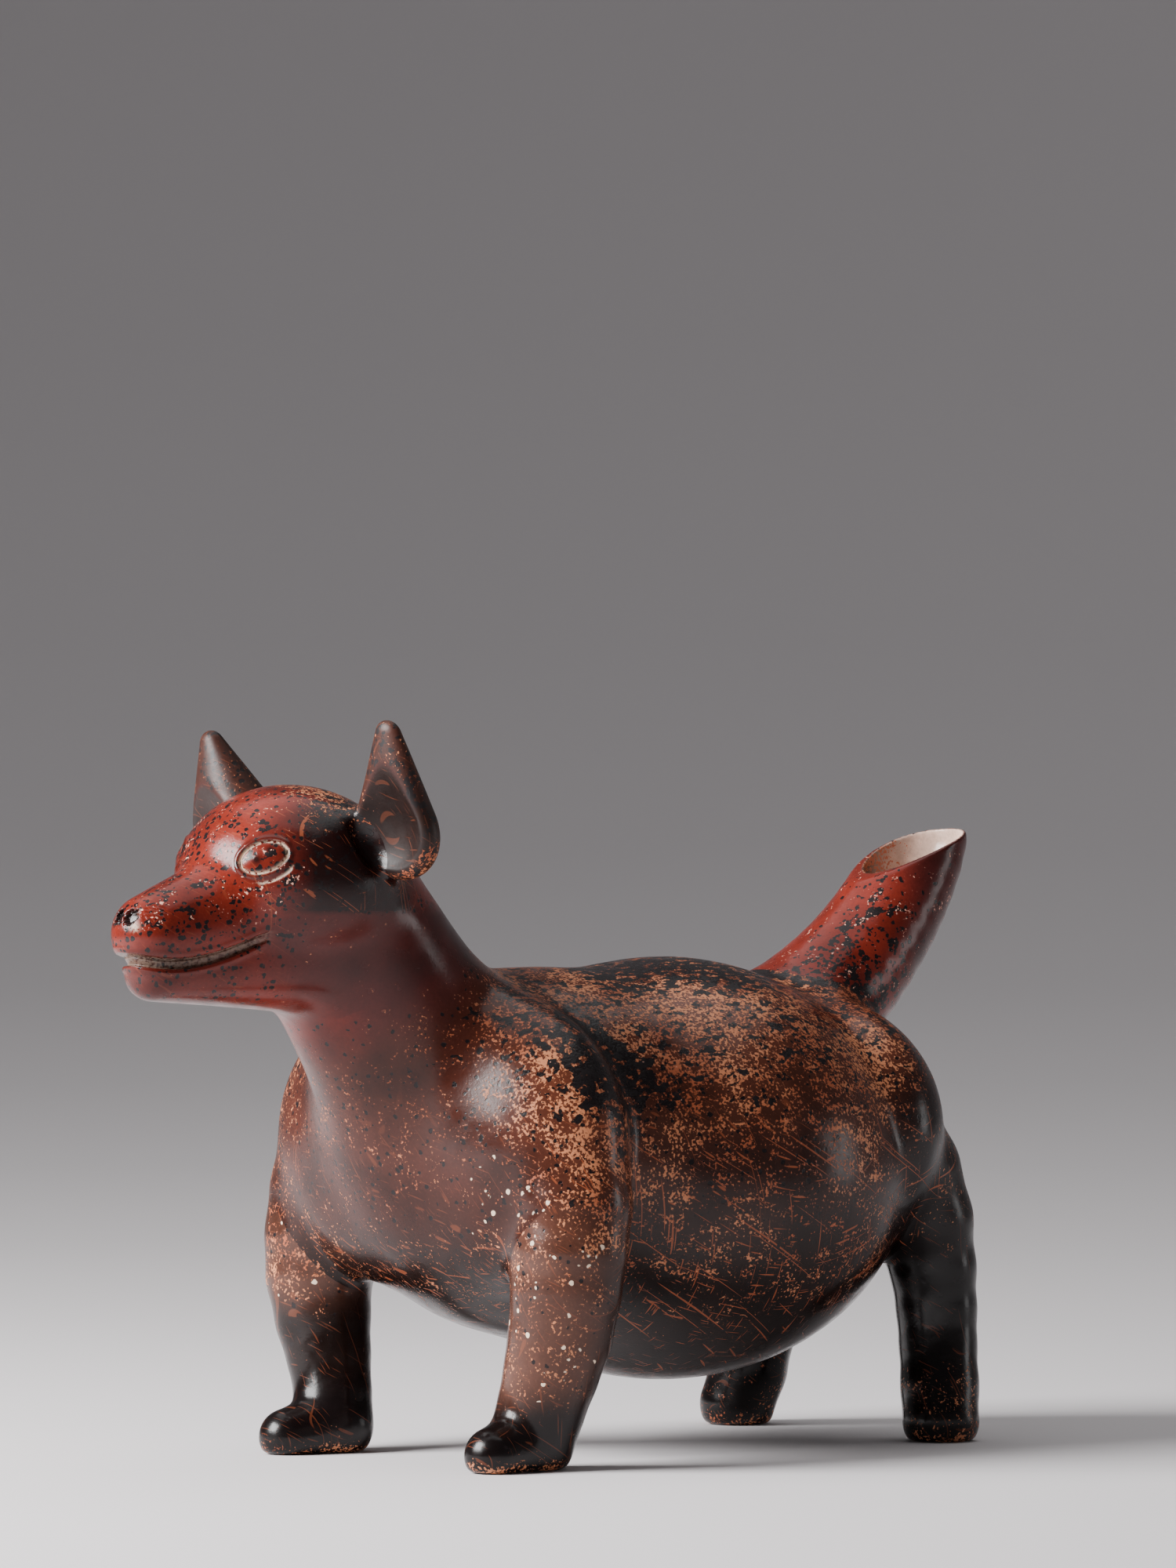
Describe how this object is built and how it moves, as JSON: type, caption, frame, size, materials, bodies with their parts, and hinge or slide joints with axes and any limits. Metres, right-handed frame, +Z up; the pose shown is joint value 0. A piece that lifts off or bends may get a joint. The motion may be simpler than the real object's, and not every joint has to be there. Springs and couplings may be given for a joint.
{
  "type": "dog-shaped vessel",
  "caption": "Hollow burnished pottery dog standing on short legs, with an upright tail that is an open spout for filling and pouring.",
  "frame": {"origin": "on the ground under the middle of the length, between the four feet", "axes": "+Z up, -X towards the nose and +X towards the tail spout, -Y the dog's left side"},
  "size_m": [0.4204, 0.1876, 0.2764],
  "materials": {
    "red_slip": "burnished gloss, brick red with black flecks",
    "brown_slip": "burnished gloss, chocolate brown with tan scratches",
    "speckled_slip": "burnished gloss, orange brown densely speckled with black",
    "dark_slip": "burnished gloss, brown black with worn orange and pale mineral spots",
    "ear_slip": "satin, dark brown with pale orange deposit"
  },
  "bodies": {
    "root": {"belly_bowl": "brown_slip", "back_shell": "speckled_slip", "neck": "red_slip", "head": "red_slip", "left_ear": "ear_slip", "right_ear": "ear_slip", "front_left_leg": "dark_slip", "front_right_leg": "dark_slip", "hind_left_leg": "dark_slip", "hind_right_leg": "dark_slip", "tail_spout": "red_slip"}
  },
  "joints": []
}
